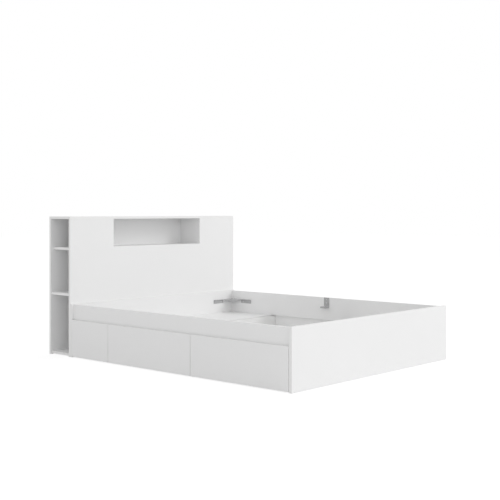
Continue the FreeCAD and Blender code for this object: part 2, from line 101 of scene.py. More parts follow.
def new_group(name, kind, inputs, outputs):
    """An empty node group with named sockets, with its input and output nodes."""
    group = bpy.data.node_groups.new(name, kind)
    for direction, sockets in (("INPUT", inputs), ("OUTPUT", outputs)):
        for socket, form in sockets.items():
            group.interface.new_socket(socket, in_out=direction, socket_type="NodeSocket" + form)
    return group, group.nodes.new("NodeGroupInput"), group.nodes.new("NodeGroupOutput")


# Masks round a board's edge, from each point's distance to the arris.
board_edges, given, result = new_group(
    "board_edges", "ShaderNodeTree",
    {"Band Strip": "Float", "Seam Width": "Float", "Handled Reach": "Float"},
    {"Band": "Float", "Seam": "Float", "Handled": "Float"})
distance = add_node(board_edges, "ShaderNodeAttribute", attribute_name="edge_distance").outputs["Fac"]
band_mask = maths(board_edges, "LESS_THAN", distance, given.outputs["Band Strip"])
seam_end = maths(board_edges, "ADD", given.outputs["Band Strip"], given.outputs["Seam Width"])
within_seam = maths(board_edges, "LESS_THAN", distance, seam_end)
seam_mask = maths(board_edges, "SUBTRACT", within_seam, band_mask)
handled = add_node(board_edges, "ShaderNodeMapRange", {
    "Value": distance, "From Max": given.outputs["Handled Reach"], "To Min": 1, "To Max": 0})
board_edges.links.new(band_mask, result.inputs["Band"])
board_edges.links.new(seam_mask, result.inputs["Seam"])
board_edges.links.new(handled.outputs[0], result.inputs["Handled"])

# A soft cloud that drifts between two values.
cloud, given, result = new_group(
    "cloud", "ShaderNodeTree",
    {"Vector": "Vector", "Scale": "Float", "Low": "Float", "High": "Float"}, {"Value": "Float"})
drift = add_node(cloud, "ShaderNodeTexNoise", {
    "Vector": given.outputs["Vector"], "Scale": given.outputs["Scale"], "Detail": CLOUD_DETAIL})
levels = add_node(cloud, "ShaderNodeMapRange", {
    "Value": drift.outputs[0], "From Min": CLOUD_THIN, "From Max": CLOUD_DENSE,
    "To Min": given.outputs["Low"], "To Max": given.outputs["High"]})
cloud.links.new(levels.outputs[0], result.inputs["Value"])

# The fine pitted skin of a pressed, moulded or coated surface.
fine_skin, given, result = new_group(
    "fine_skin", "ShaderNodeTree", {"Vector": "Vector", "Scale": "Float"}, {"Height": "Float"})
pits = add_node(fine_skin, "ShaderNodeTexNoise", {
    "Vector": given.outputs["Vector"], "Scale": given.outputs["Scale"], "Detail": PIT_DETAIL})
swell = add_node(fine_skin, "ShaderNodeTexNoise", {
    "Vector": given.outputs["Vector"],
    "Scale": maths(fine_skin, "MULTIPLY", given.outputs["Scale"], SWELL_SCALE)})
height = maths(fine_skin, "ADD", pits.outputs[0], swell.outputs[0])
fine_skin.links.new(height, result.inputs["Height"])


def new_finish(name):
    """A new material with its node tree, its shader and the piece's own coordinates."""
    material = bpy.data.materials.new(name)
    material.use_nodes = True
    tree = material.node_tree
    place = add_node(tree, "ShaderNodeTexCoord").outputs["Object"]
    return material, tree, tree.nodes["Principled BSDF"], place


def add_cloud(tree, place, scale, low, high):
    """A value that drifts over a surface between low and high."""
    inputs = {"Vector": place, "Scale": scale, "Low": low, "High": high}
    return add_node(tree, "ShaderNodeGroup", inputs, node_tree=cloud).outputs["Value"]


def add_skin(tree, shader, place, scale, depth):
    """Gives a shader the fine skin, with so many pits to the metre and so deep."""
    skin = add_node(tree, "ShaderNodeGroup", {"Vector": place, "Scale": scale}, node_tree=fine_skin)
    bump = add_node(tree, "ShaderNodeBump", {
        "Strength": SKIN_STRENGTH, "Distance": depth, "Height": skin.outputs["Height"]})
    tree.links.new(bump.outputs[0], shader.inputs["Normal"])


def board_finish(name, face, band, rough, skin):
    """Faced board: a clouded face, its band and glue seam, and edges polished by handling."""
    material, tree, shader, place = new_finish(name)
    edges = add_node(tree, "ShaderNodeGroup", {
        "Band Strip": BAND_THICK - BOARD_ARRIS, "Seam Width": SEAM_WIDTH,
        "Handled Reach": HANDLED_REACH}, node_tree=board_edges).outputs
    drift = add_cloud(tree, place, CLOUD_SCALE, 0, 1)
    shade = [part * CLOUD_SHADE for part in face[:3]] + [1]
    touched = maths(tree, "MULTIPLY", edges["Handled"], drift)
    colour = mix_colour(tree, drift, face, shade)
    colour = mix_colour(tree, maths(tree, "MULTIPLY", touched, HANDLED_TINT), colour, shade)
    colour = mix_colour(tree, edges["Band"], colour, band)
    colour = mix_colour(tree, edges["Seam"], colour, GLUE_SEAM)
    tree.links.new(colour, shader.inputs["Base Color"])
    polished = maths(tree, "SUBTRACT", rough, maths(tree, "MULTIPLY", touched, HANDLED_POLISH))
    tree.links.new(polished, shader.inputs["Roughness"])
    add_skin(tree, shader, place, *skin)
    return material


melamine = board_finish("white_melamine", WHITE_FACE, WHITE_BAND, MELAMINE_ROUGH, MELAMINE_SKIN)


def node_shape(node):
    """A copy of a node's own solid, with its facets joined up."""
    shape = bmesh.new()
    shape.from_mesh(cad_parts[node].data)
    bmesh.ops.remove_doubles(shape, verts=shape.verts, dist=MERGE)
    return shape


def bevel_sharp(shape, arris, steps):
    """Rounds a shape's sharp edges and gives the faces of the rounding."""
    sharp = [edge for edge in shape.edges if edge.calc_face_angle() > SHARP]
    rounded = bmesh.ops.bevel(
        shape, geom=sharp, offset=arris, segments=steps, profile=ROUND_PROFILE, affect="EDGES")
    return rounded["faces"]


def round_edges(shape, arris):
    """Rounds a shape's sharp edges and marks the faces of the rounding."""
    shape.verts.layers.float.new("edge_distance")
    arris_mark = shape.faces.layers.float.new("arris")
    bmesh.ops.dissolve_limit(shape, angle_limit=FLAT, verts=shape.verts, edges=shape.edges)
    for face in bevel_sharp(shape, arris, ARRIS_STEPS):
        face[arris_mark] = 1
    for face in shape.faces:
        face.smooth = max(abs(part) for part in face.normal) < math.cos(FLAT)


def mark_edges(shape, broad, reach):
    """Insets broad faces, which then hold each point's distance to the arris, up to a reach."""
    bmesh.ops.inset_individual(shape, faces=broad, thickness=reach, use_even_offset=True)
    distances = shape.verts.layers.float["edge_distance"]
    for face in broad:
        for corner in face.verts:
            corner[distances] = reach


def show_piece(name, mesh, body, slot, *stands_for):
    """Adds a finished mesh to the scene as a piece of its body."""
    piece = bpy.data.objects.new(name, mesh)
    bpy.context.scene.collection.objects.link(piece)
    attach(piece, body)
    if stands_for:
        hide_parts(*stands_for)


def finish_piece(name, shape, material, body, slot, *stands_for):
    """Turns a shape into a piece that rides on its body in place of its nodes."""
    mesh = bpy.data.meshes.new(name)
    shape.to_mesh(mesh)
    shape.free()
    if "custom_normal" in mesh.attributes:
        mesh.attributes.remove(mesh.attributes["custom_normal"])
    mesh.materials.append(material)
    show_piece(name, mesh, body, slot, *stands_for)


def dress_board(node, body, material, slot, arris=BOARD_ARRIS):
    """A board with rounded arrises and banded edges in place of its node."""
    low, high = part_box(node)
    spans = list(high - low)
    thin = spans.index(min(spans))
    shape = node_shape(node)
    round_edges(shape, arris)
    broad = [face for face in shape.faces if abs(face.normal[thin]) > math.cos(FLAT)]
    mark_edges(shape, broad, HANDLED_REACH)
    finish_piece(node + ".dressed", shape, material, body, slot, node)


for node in ("foot_panel", "head_panel", "left_side_rail", "right_side_rail", "head_deck",
             "head_partition", "mid_partition"):
    dress_board(node, "bed_frame", melamine, "white_board")
for node in ("left_fixed_front", "right_fixed_front"):
    dress_board(node, "bed_frame", melamine, "white_board", FRONT_ARRIS)

# Slat brackets: a pressed corner plate in each corner of the frame and a folded angle half way
# along each rail. Steel plate, cut, pressed and powder-coated grey, screwed to the boards. The
# corner plate's hollow edge and the angle's free edges are folded down into a lip.
STEEL_ARRIS = 0.6 * MM
STEEL_THICK = 3 * MM
PLATE_TIP = 20 * MM
PLATE_THROAT = 55 * MM
FLANGE_LENGTH = 110 * MM
LIP_DROP = 12 * MM
LIP_PROUD = 0.05 * MM
LIP_STEPS = 12
COAT_GREY = (0.46, 0.46, 0.465, 1)
COAT_THIN = (0.53, 0.53, 0.535, 1)
ARRIS_CLOUD = (40, 0.3, 1)
COAT_CLOUD = (9, 0, 0.2)
COAT_ROUGH = (25, 0.09, 0.15)
COAT_SKIN = (1400, 0.015 * MM)
grey_coat, tree, shader, place = new_finish("grey_powder_coat")
arrises = add_node(tree, "ShaderNodeAttribute", attribute_name="arris").outputs["Fac"]
thinned = maths(tree, "MULTIPLY", arrises, add_cloud(tree, place, *ARRIS_CLOUD))
thinned = maths(tree, "ADD", thinned, add_cloud(tree, place, *COAT_CLOUD))
tree.links.new(mix_colour(tree, thinned, COAT_GREY, COAT_THIN), shader.inputs["Base Color"])
tree.links.new(add_cloud(tree, place, *COAT_ROUGH), shader.inputs["Roughness"])
add_skin(tree, shader, place, *COAT_SKIN)


def arc(radius, first, last, steps):
    """Points on an arc about the origin, as pairs."""
    turns = [first + (last - first) * step / steps for step in range(steps + 1)]
    return [(radius * math.cos(turn), radius * math.sin(turn)) for turn in turns]


def add_prism(shape, outline, travel):
    """Adds a flat outline drawn out along a vector."""
    base = shape.faces.new([shape.verts.new(point) for point in outline])
    grown = bmesh.ops.extrude_face_region(shape, geom=[base], use_keep_orig=True)
    far = [part for part in grown["geom"] if isinstance(part, bmesh.types.BMVert)]
    bmesh.ops.translate(shape, verts=far, vec=travel)


def corner_lip(low, high):
    """Plan of the lip under a corner plate's hollow edge, from flange to flange."""
    leg = high.x - low.x
    home_x = max(low.x, high.x, key=abs)
    home_y = max(low.y, high.y, key=abs)
    # The edge is an arc through the plate's two tips and its throat, about a point equally far
    # from both boards.
    middle = ((leg ** 2 + PLATE_TIP ** 2 - 2 * PLATE_THROAT ** 2)
              / (2 * (leg + PLATE_TIP - 2 * PLATE_THROAT)))
    radius = math.sqrt(2) * (middle - PLATE_THROAT)
    first = -math.acos((leg - FLANGE_LENGTH - middle) / radius)
    last = -math.pi * 3 / 2 - first
    front = arc(radius - LIP_PROUD, first, last, LIP_STEPS)
    back = arc(radius + STEEL_THICK, last, first, LIP_STEPS)
    return [(home_x - math.copysign(middle + x, home_x), home_y - math.copysign(middle + y, home_y))
            for x, y in front + back]


def leaf_lip(low, high):
    """Plan of the lip under a mid bracket's leaf, round the three edges off the rail."""
    end, root = sorted((low.x, high.x), key=abs)
    inward = math.copysign(1, end - root)
    root += inward * STEEL_THICK
    outline = []
    for out, way in ((LIP_PROUD, 1), (-STEEL_THICK, -1)):
        tip, near, far = end + inward * out, low.y - out, high.y + out
        outline += [(root, near), (tip, near), (tip, far), (root, far)][::way]
    return outline


brackets = {f"corner_bracket_{end}_{side}": corner_lip
            for end in ("foot", "head") for side in ("left", "right")}
brackets |= {f"mid_bracket_{side}": leaf_lip for side in ("left", "right")}
plate_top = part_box("corner_bracket_foot_left")[1].z
for node, lip in brackets.items():
    low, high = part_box(node)
    shape = node_shape(node)
    foot = [(x, y, plate_top - LIP_DROP) for x, y in lip(low, high)]
    add_prism(shape, foot, (0, 0, LIP_DROP - STEEL_THICK / 2))
    bmesh.ops.recalc_face_normals(shape, faces=shape.faces)
    round_edges(shape, STEEL_ARRIS)
    finish_piece(node + ".dressed", shape, grey_coat, "bed_frame", "bracket_steel", node)

# Bracket screws: round-headed wood screws with a cross recess, zinc-plated steel, driven through
# the bracket's holes into the board.
SCREW_HEAD = 4.5 * MM
SCREW_RISE = 2.5 * MM
SCREW_SHANK = 2.2 * MM
SCREW_LENGTH = 17 * MM
CROSS_REACH = 2.6 * MM
CROSS_WIDTH = 0.9 * MM
CROSS_DEPTH = 1.5 * MM
HEAD_SEGMENTS = 32
HEAD_RINGS = 16
SHANK_SIDES = 16
SHANK_IN_HEAD = 0.25
CUTTER_SPAN = 4
TURN_SEED = 7
LEVEL_DIGITS = 5
ZINC_LIGHT = (0.80, 0.81, 0.82, 1)
ZINC_DULL = (0.62, 0.63, 0.65, 1)
SPANGLE_SCALE = 700
ZINC_ROUGH = (160, 0.28, 0.44)
ZINC_SKIN = (2500, 0.02 * MM)
RANDOM_LOW, RANDOM_HIGH, RANDOM_RESULT = 2, 3, 1
zinc, tree, shader, place = new_finish("bright_zinc")
spangle = add_node(tree, "ShaderNodeTexVoronoi", {"Vector": place, "Scale": SPANGLE_SCALE})
flake = add_node(tree, "ShaderNodeSeparateColor", {0: spangle.outputs["Color"]}).outputs[0]
tree.links.new(mix_colour(tree, flake, ZINC_LIGHT, ZINC_DULL), shader.inputs["Base Color"])
shader.inputs["Metallic"].default_value = 1
tree.links.new(add_cloud(tree, place, *ZINC_ROUGH), shader.inputs["Roughness"])
add_skin(tree, shader, place, *ZINC_SKIN)


def repeat_tree(name, *sizes):
    """An empty Geometry Nodes tree that takes spots, the sizes of one pattern and its material."""
    inputs = {"Spots": "Geometry"} | {size: "Float" for size in sizes}
    inputs |= {"Turn": "Float", "Material": "Material"}
    return new_group(name, "GeometryNodeTree", inputs, {"Pieces": "Geometry"})


def close_tree(tree, given, result, pattern):
    """Sets a pattern upright on every spot, with a seeded turn, and gives it its material."""
    facing = add_node(
        tree, "GeometryNodeInputNamedAttribute", {"Name": "facing"}, data_type="FLOAT_VECTOR")
    upright = add_node(
        tree, "FunctionNodeAlignRotationToVector", {"Vector": facing.outputs[0]}, axis="Z")
    chance = add_node(tree, "FunctionNodeRandomValue", {
        RANDOM_LOW: 0, RANDOM_HIGH: given.outputs["Turn"], "Seed": TURN_SEED})
    turn = add_node(tree, "FunctionNodeAxisAngleToRotation", {
        "Axis": (0, 0, 1), "Angle": chance.outputs[RANDOM_RESULT]})
    turned = add_node(tree, "FunctionNodeRotateRotation", {
        "Rotation": upright.outputs[0], "Rotate By": turn.outputs[0]}, rotation_space="LOCAL")
    placed = add_node(tree, "GeometryNodeInstanceOnPoints", {
        "Points": given.outputs["Spots"], "Instance": pattern, "Rotation": turned.outputs[0]})
    real = add_node(tree, "GeometryNodeRealizeInstances", {"Geometry": placed.outputs[0]})
    dressed = add_node(tree, "GeometryNodeSetMaterial", {
        "Geometry": real.outputs[0], "Material": given.outputs["Material"]})
    tree.links.new(dressed.outputs[0], result.inputs["Pieces"])


def combine(tree, operation, *meshes):
    """One mesh from several: their union, or the first less the others."""
    join = add_node(tree, "GeometryNodeMeshBoolean", operation=operation, solver="EXACT")
    for index, mesh in enumerate(meshes):
        first = operation == "DIFFERENCE" and index == 0
        tree.links.new(mesh, join.inputs["Mesh 1" if first else "Mesh 2"])
    return join.outputs["Mesh"]


def vector(tree, x, y, z):
    """A vector from three values or sockets."""
    return add_node(tree, "ShaderNodeCombineXYZ", {0: x, 1: y, 2: z}).outputs[0]


def moved(tree, mesh, **how):
    """A mesh moved, turned or scaled."""
    inputs = {"Geometry": mesh} | {name.capitalize(): value for name, value in how.items()}
    return add_node(tree, "GeometryNodeTransform", inputs).outputs[0]


def block(tree, x, y, z):
    """A block of three sizes about its middle."""
    return add_node(tree, "GeometryNodeMeshCube", {"Size": vector(tree, x, y, z)}).outputs["Mesh"]


def rod(tree, radius, length, sides):
    """A rod of some length about its middle, along Z."""
    inputs = {"Vertices": sides, "Radius": radius, "Depth": length}
    return add_node(tree, "GeometryNodeMeshCylinder", inputs).outputs["Mesh"]


def dome(tree, radius, rise):
    """A low round head that stands on z = 0."""
    ball = add_node(tree, "GeometryNodeMeshUVSphere", {
        "Segments": HEAD_SEGMENTS, "Rings": HEAD_RINGS, "Radius": 1}).outputs["Mesh"]
    ball = moved(tree, ball, scale=vector(tree, radius, radius, rise))
    span = maths(tree, "MULTIPLY", radius, CUTTER_SPAN)
    depth = maths(tree, "MULTIPLY", rise, 2)
    under = moved(tree, block(tree, span, span, depth),
                  translation=vector(tree, 0, 0, maths(tree, "MULTIPLY", rise, -1)))
    return combine(tree, "DIFFERENCE", ball, under)


def screw_tree(name, recess):
    """A tree of screws with a shank and a round head, whose top a recess function cuts."""
    tree, given, result = repeat_tree(
        name, "Head Radius", "Head Rise", "Shank Radius", "Shank Length",
        "Recess Reach", "Recess Width", "Recess Depth")
    sizes = given.outputs
    half = maths(tree, "MULTIPLY", sizes["Shank Length"], -0.5)
    bury = maths(tree, "MULTIPLY", sizes["Head Rise"], SHANK_IN_HEAD)
    shank = moved(tree, rod(tree, sizes["Shank Radius"], sizes["Shank Length"], SHANK_SIDES),
                  translation=vector(tree, 0, 0, maths(tree, "ADD", half, bury)))
    whole = combine(tree, "UNION", dome(tree, sizes["Head Radius"], sizes["Head Rise"]), shank)
    depth = maths(tree, "MULTIPLY", sizes["Recess Depth"], 2)
    cuts = [moved(tree, cut, translation=vector(tree, 0, 0, sizes["Head Rise"]))
            for cut in recess(tree, sizes, depth)]
    close_tree(tree, given, result, combine(tree, "DIFFERENCE", whole, *cuts))
    return tree


def cross_cuts(tree, sizes, depth):
    """Two blades that cross."""
    reach = maths(tree, "MULTIPLY", sizes["Recess Reach"], 2)
    width = sizes["Recess Width"]
    return [block(tree, reach, width, depth), block(tree, width, reach, depth)]


def separate_solids(node):
    """The corners of each of a node's separate solids, in the order of its mesh."""
    shape = node_shape(node)
    solids, met = [], set()
    for start in shape.verts:
        solid, waiting = [], [start]
        while waiting:
            corner = waiting.pop()
            if corner not in met:
                met.add(corner)
                solid.append(corner.co.copy())
                waiting += [edge.other_vert(corner) for edge in corner.link_edges]
        if solid:
            solids.append(solid)
    shape.free()
    return solids


def screw_spots(node):
    """Each screw's seat and the way its head faces, read from the node's solids."""
    spots = []
    for solid in separate_solids(node):
        # Along its own axis a screw has three levels: its end, its seat and its head's top.
        for axis in range(3):
            levels = sorted({round(corner[axis], LEVEL_DIGITS) for corner in solid})
            if len(levels) == 3:
                break
        end, seat, top = levels
        spot = sum(solid, Vector()) / len(solid)
        spot[axis] = seat
        facing = Vector()
        facing[axis] = 1 if top - seat < seat - end else -1
        spots.append((spot, facing))
    return spots


def repeated_piece(name, spots, tree, sizes, material, body, slot, *stands_for):
    """Runs a tree on spots, each a place and a facing, and keeps what it makes as one plain mesh."""
    mesh = bpy.data.meshes.new(name)
    mesh.from_pydata([spot for spot, _ in spots], [], [])
    facings = mesh.attributes.new("facing", "FLOAT_VECTOR", "POINT")
    for point, (_, facing) in zip(facings.data, spots):
        point.vector = facing
    source = bpy.data.objects.new(name, mesh)
    bpy.context.scene.collection.objects.link(source)
    repeat = source.modifiers.new("repeat", "NODES")
    repeat.node_group = tree
    values = sizes | {"Material": material}
    for socket in tree.interface.items_tree:
        if socket.name in values:
            repeat[socket.identifier] = values[socket.name]
    view_layer = bpy.context.evaluated_depsgraph_get()
    made = bpy.data.meshes.new_from_object(
        source.evaluated_get(view_layer), preserve_all_data_layers=True, depsgraph=view_layer)
    bpy.data.objects.remove(source)
    made.name = name
    made.shade_smooth()
    made.set_sharp_from_angle(angle=SHARP)
    show_piece(name, made, body, slot, *stands_for)


cross_screws = screw_tree("cross_screws", cross_cuts)
bracket_screw = {
    "Head Radius": SCREW_HEAD, "Head Rise": SCREW_RISE,
    "Shank Radius": SCREW_SHANK, "Shank Length": SCREW_LENGTH,
    "Recess Reach": CROSS_REACH, "Recess Width": CROSS_WIDTH, "Recess Depth": CROSS_DEPTH,
    "Turn": math.pi}
repeated_piece("bracket_screws.dressed", screw_spots("bracket_screws"), cross_screws, bracket_screw,
               zinc, "bed_frame", "zinc_steel", "bracket_screws")

# Headboard: a bookcase box of the same white board, screwed to the head panel, with a notched
# front, a back, a top laid over both, a niche between two dividers and open shelves at both ends.
for node in ("headboard_front", "headboard_back", "headboard_top", "headboard_bottom", "niche_shelf",
             "headboard_left_divider", "headboard_right_divider", "left_upper_shelf",
             "left_lower_shelf", "right_upper_shelf", "right_lower_shelf"):
    dress_board(node, "bed_frame", melamine, "white_board")

# Headboard screws: zinc-plated connecting screws with a hexagon socket, driven from inside the
# bed through the head panel into the headboard's front.
JOINT_HEAD = 5.5 * MM
JOINT_RISE = 2.5 * MM
JOINT_SHANK = 3.5 * MM
JOINT_LENGTH = 32 * MM
SOCKET_RADIUS = 2.3 * MM
SOCKET_DEPTH = 1.8 * MM
SOCKET_SIDES = 6


def socket_cut(tree, sizes, depth):
    """A hexagon socket."""
    return [rod(tree, sizes["Recess Reach"], depth, SOCKET_SIDES)]


socket_screws = screw_tree("socket_screws", socket_cut)
joint_screw = {
    "Head Radius": JOINT_HEAD, "Head Rise": JOINT_RISE,
    "Shank Radius": JOINT_SHANK, "Shank Length": JOINT_LENGTH,
    "Recess Reach": SOCKET_RADIUS, "Recess Depth": SOCKET_DEPTH,
    "Turn": math.pi}
repeated_piece("headboard_screws.dressed", screw_spots("headboard_screws"), socket_screws, joint_screw,
               zinc, "bed_frame", "zinc_steel", "headboard_screws")

# Cover caps under the end shelves: white moulded plastic buttons pressed over the cam fittings
# that draw each shelf against its divider.
CAP_RADIUS = 8.5 * MM
CAP_RISE = 1.1 * MM
CAP_INSET = 34 * MM
CAP_WHITE = (0.87, 0.87, 0.865, 1)
CAP_WORN = (0.82, 0.82, 0.81, 1)
CAP_CLOUD = (60, 0, 1)
CAP_ROUGH = (90, 0.38, 0.5)
CAP_SKIN = (1600, 0.03 * MM)
DOWN = Vector((0, 0, -1))
cap_plastic, tree, shader, place = new_finish("cap_plastic")
cap_colour = mix_colour(tree, add_cloud(tree, place, *CAP_CLOUD), CAP_WHITE, CAP_WORN)
tree.links.new(cap_colour, shader.inputs["Base Color"])
tree.links.new(add_cloud(tree, place, *CAP_ROUGH), shader.inputs["Roughness"])
add_skin(tree, shader, place, *CAP_SKIN)
round_heads, given, result = repeat_tree("round_heads", "Head Radius", "Head Rise")
head = dome(round_heads, given.outputs["Head Radius"], given.outputs["Head Rise"])
close_tree(round_heads, given, result, head)
cover_cap = {"Head Radius": CAP_RADIUS, "Head Rise": CAP_RISE, "Turn": 0.0}
spots = []
for side, out in (("left", -1), ("right", 1)):
    for level in ("upper", "lower"):
        low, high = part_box(f"{side}_{level}_shelf")
        inner = min(abs(low.x), abs(high.x)) + CAP_INSET
        for y in (low.y + CAP_INSET, high.y - CAP_INSET):
            spots.append((Vector((out * inner, y, low.z)), DOWN))
repeated_piece("shelf_caps", spots, round_heads, cover_cap, cap_plastic, "bed_frame", "white_board")

# Drawers: a front of the white board and a box of thinner boards wrapped in white foil, glued and
# dowelled together. Capped cam fittings inside the box hold the front.
FOIL_FACE = (0.87, 0.87, 0.865, 1)
FOIL_ROUGH = 0.5
FOIL_SKIN = (500, 0.08 * MM)
CAP_DROP = 45 * MM
CAP_LIFT = 90 * MM
foil = board_finish("drawer_foil", FOIL_FACE, FOIL_FACE, FOIL_ROUGH, FOIL_SKIN)
drawers = {f"{side}_{end}_drawer": out
           for side, out in (("left", -1), ("right", 1)) for end in ("foot", "head")}
for drawer, out in drawers.items():
    dress_board(f"{drawer}_front", drawer, melamine, "white_board", FRONT_ARRIS)
    for board in ("foot_side", "head_side", "back", "bottom"):
        dress_board(f"{drawer}_{board}", drawer, foil, "drawer_board")
    spots = []
    for board, inward in (("foot_side", 1), ("head_side", -1)):
        low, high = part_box(f"{drawer}_{board}")
        x = out * (max(abs(low.x), abs(high.x)) - CAP_INSET)
        y = high.y if inward > 0 else low.y
        for z in (high.z - CAP_DROP, low.z + CAP_LIFT):
            spots.append((Vector((x, y, z)), Vector((0, inward, 0))))
    repeated_piece(f"{drawer}_caps", spots, round_heads, cover_cap, cap_plastic, drawer, "drawer_board")

# Castor forks: four fixed forks under each drawer, each a plate and two cheeks of zinc-plated
# sheet steel with a riveted axle, screwed up into the drawer's bottom.
PLATE_LENGTH = 56 * MM
PLATE_WIDTH = 36 * MM
PLATE_THICK = 2 * MM
PLATE_ROUND = 5 * MM
PLATE_STEPS = 6
CHEEK_TOP = 34 * MM
CHEEK_INSIDE = 8 * MM
CHEEK_THICK = 2 * MM
CHEEK_ROUND = 7 * MM
CHEEK_STEPS = 14
AXLE_HEIGHT = 15 * MM
AXLE_RADIUS = 2.5 * MM
AXLE_STEPS = 20
FORK_ARRIS = 0.25 * MM
FORK_ARRIS_STEPS = 2
RIVET_RADIUS = 4 * MM
RIVET_RISE = 1.3 * MM
PLATE_SCREW_X = 22 * MM
PLATE_SCREW_Y = 13 * MM
PLATE_SCREW_HEAD = 3.4 * MM
PLATE_SCREW_RISE = 1.8 * MM
PLATE_SCREW_SHANK = 1.7 * MM
PLATE_SCREW_LENGTH = 10 * MM
PLATE_CROSS_REACH = 2 * MM
PLATE_CROSS_WIDTH = 0.7 * MM
PLATE_CROSS_DEPTH = 1 * MM
UP = Vector((0, 0, 1))


def fork_pattern(top):
    """One fork on the floor below the middle of its plate, whose upper side is at a height."""
    shape = bmesh.new()
    underside = top - PLATE_THICK
    plate = []
    for quarter, (x, y) in enumerate(((1, 1), (-1, 1), (-1, -1), (1, -1))):
        middle_x = x * (PLATE_LENGTH / 2 - PLATE_ROUND)
        middle_y = y * (PLATE_WIDTH / 2 - PLATE_ROUND)
        start = quarter * math.pi / 2
        plate += [(middle_x + dx, middle_y + dy, underside)
                  for dx, dy in arc(PLATE_ROUND, start, start + math.pi / 2, PLATE_STEPS)]
    add_prism(shape, plate, (0, 0, PLATE_THICK))
    rise = underside - AXLE_HEIGHT
    lean = math.atan2(rise, CHEEK_TOP / 2) - math.acos(CHEEK_ROUND / math.hypot(rise, CHEEK_TOP / 2))
    for y in (CHEEK_INSIDE, -CHEEK_INSIDE - CHEEK_THICK):
        foot = [(x, y, AXLE_HEIGHT + z)
                for x, z in arc(CHEEK_ROUND, lean, -math.pi - lean, CHEEK_STEPS)]
        cheek = [(CHEEK_TOP / 2, y, underside)] + foot + [(-CHEEK_TOP / 2, y, underside)]
        add_prism(shape, cheek, (0, CHEEK_THICK, 0))
    axle = [(x, -CHEEK_INSIDE, AXLE_HEIGHT + z)
            for x, z in arc(AXLE_RADIUS, 0, 2 * math.pi, AXLE_STEPS)[:-1]]
    add_prism(shape, axle, (0, 2 * CHEEK_INSIDE, 0))
    bmesh.ops.recalc_face_normals(shape, faces=shape.faces)
    bevel_sharp(shape, FORK_ARRIS, FORK_ARRIS_STEPS)
    mesh = bpy.data.meshes.new("fork_pattern")
    shape.to_mesh(mesh)
    shape.free()
    return bpy.data.objects.new("fork_pattern", mesh)


castor_forks, given, result = new_group(
    "castor_forks", "GeometryNodeTree",
    {"Spots": "Geometry", "Fork": "Object", "Turn": "Float", "Material": "Material"},
    {"Pieces": "Geometry"})
fork = add_node(castor_forks, "GeometryNodeObjectInfo", {"Object": given.outputs["Fork"]})
close_tree(castor_forks, given, result, fork.outputs["Geometry"])
rivet = {"Head Radius": RIVET_RADIUS, "Head Rise": RIVET_RISE, "Turn": 0.0}
plate_screw = {
    "Head Radius": PLATE_SCREW_HEAD, "Head Rise": PLATE_SCREW_RISE,
    "Shank Radius": PLATE_SCREW_SHANK, "Shank Length": PLATE_SCREW_LENGTH,
    "Recess Reach": PLATE_CROSS_REACH, "Recess Width": PLATE_CROSS_WIDTH,
    "Recess Depth": PLATE_CROSS_DEPTH, "Turn": math.pi}
for drawer in drawers:
    low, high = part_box(f"{drawer}_castors")
    pattern = fork_pattern(high.z)
    stands = [Vector((x, y, 0)) for x in (low.x + PLATE_LENGTH / 2, high.x - PLATE_LENGTH / 2)
              for y in (low.y + PLATE_WIDTH / 2, high.y - PLATE_WIDTH / 2)]
    spots = [(stand, UP) for stand in stands]
    repeated_piece(f"{drawer}_castors.dressed", spots, castor_forks, {"Fork": pattern, "Turn": 0.0},
                   zinc, drawer, "zinc_steel", f"{drawer}_castors")
    bpy.data.objects.remove(pattern)
    cheek_face = CHEEK_INSIDE + CHEEK_THICK
    spots = [(stand + Vector((0, way * cheek_face, AXLE_HEIGHT)), Vector((0, way, 0)))
             for stand in stands for way in (-1, 1)]
    repeated_piece(f"{drawer}_axle_rivets", spots, round_heads, rivet, zinc, drawer, "zinc_steel")
    underside = high.z - PLATE_THICK
    spots = [(stand + Vector((x * PLATE_SCREW_X, y * PLATE_SCREW_Y, underside)), DOWN)
             for stand in stands for x in (-1, 1) for y in (-1, 1)]
    repeated_piece(f"{drawer}_plate_screws", spots, cross_screws, plate_screw,
                   zinc, drawer, "zinc_steel")

# Castor wheels: moulded in dark nylon, with a rounded tread, a thin web, six ribs and a hub that
# runs on the axle. The tread is scuffed by the floor.
WHEEL_WIDTH = 14 * MM
TREAD_THICK = 3.2 * MM
TREAD_ROUND = 1.4 * MM
HUB_RADIUS = 5 * MM
BORE_RADIUS = 2.6 * MM
WEB_THICK = 4 * MM
RIB_THICK = 1.4 * MM
RIB_COUNT = 6
RIB_SPAN = 0.78
EDGE_EASE = 0.35
ROUND_STEPS = 3
RING_STEPS = 48
NYLON = (0.055, 0.055, 0.058, 1)
SCUFFED = (0.17, 0.168, 0.163, 1)
SCUFF_START = 0.9
SCUFF_CLOUD = (320, 0.2, 1)
SCUFF_DULL = 0.25
NYLON_ROUGH = (120, 0.36, 0.46)
NYLON_SKIN = (1500, 0.05 * MM)
AXLE_WAY = Vector((0, 1, 0))
nylon, tree, shader, place = new_finish("dark_nylon")
reach = add_node(tree, "ShaderNodeAttribute", attribute_name="reach").outputs["Fac"]
tread = add_node(tree, "ShaderNodeMapRange", {"Value": reach, "From Min": SCUFF_START}).outputs[0]
scuff = maths(tree, "MULTIPLY", tread, add_cloud(tree, place, *SCUFF_CLOUD))
tree.links.new(mix_colour(tree, scuff, NYLON, SCUFFED), shader.inputs["Base Color"])
dulled = maths(tree, "MULTIPLY", scuff, SCUFF_DULL)
dulled = maths(tree, "ADD", dulled, add_cloud(tree, place, *NYLON_ROUGH))
tree.links.new(dulled, shader.inputs["Roughness"])
add_skin(tree, shader, place, *NYLON_SKIN)


def halfway(tree, first, second):
    """The value half way between two values or sockets."""
    return maths(tree, "MULTIPLY", maths(tree, "ADD", first, second), 0.5)


